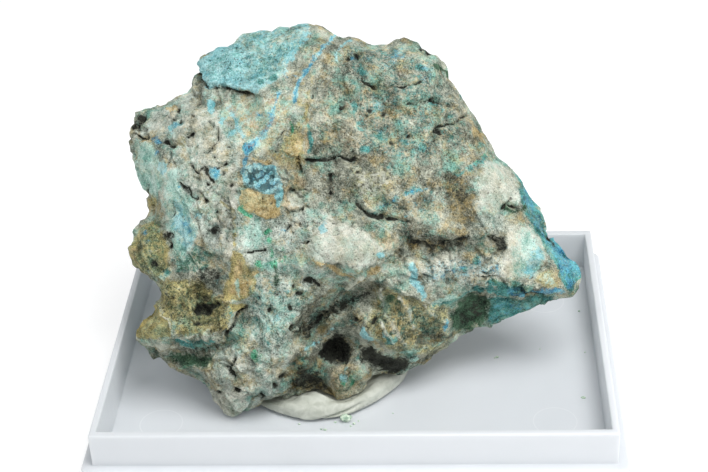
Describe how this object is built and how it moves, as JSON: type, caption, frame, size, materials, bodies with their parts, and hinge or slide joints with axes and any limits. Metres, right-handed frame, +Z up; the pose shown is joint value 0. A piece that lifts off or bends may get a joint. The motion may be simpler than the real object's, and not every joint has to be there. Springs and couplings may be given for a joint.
{
  "type": "mineral specimen",
  "caption": "Rough decrespignyite specimen, turquoise crust on broken brown rock, held by a putty pad in an open white plastic box base that rests on any flat surface.",
  "frame": {"origin": "middle of the flat underside of the box base, on the surface it rests on", "axes": "+Z up; +X to the right and -Y toward the viewer, along the box base's long and short sides"},
  "size_m": [0.0836, 0.06, 0.0526],
  "materials": {
    "copper_rock": "rough broken stone with turquoise and green crust",
    "putty": "smooth pressed putty",
    "white_box": "satin moulded white polystyrene",
    "pale_crumb": "chalky pale green mineral"
  },
  "bodies": {
    "root": {"decrespignyite_rock": "copper_rock", "mounting_putty": "putty", "box_base": "white_box", "loose_crumb": "pale_crumb"}
  },
  "joints": []
}
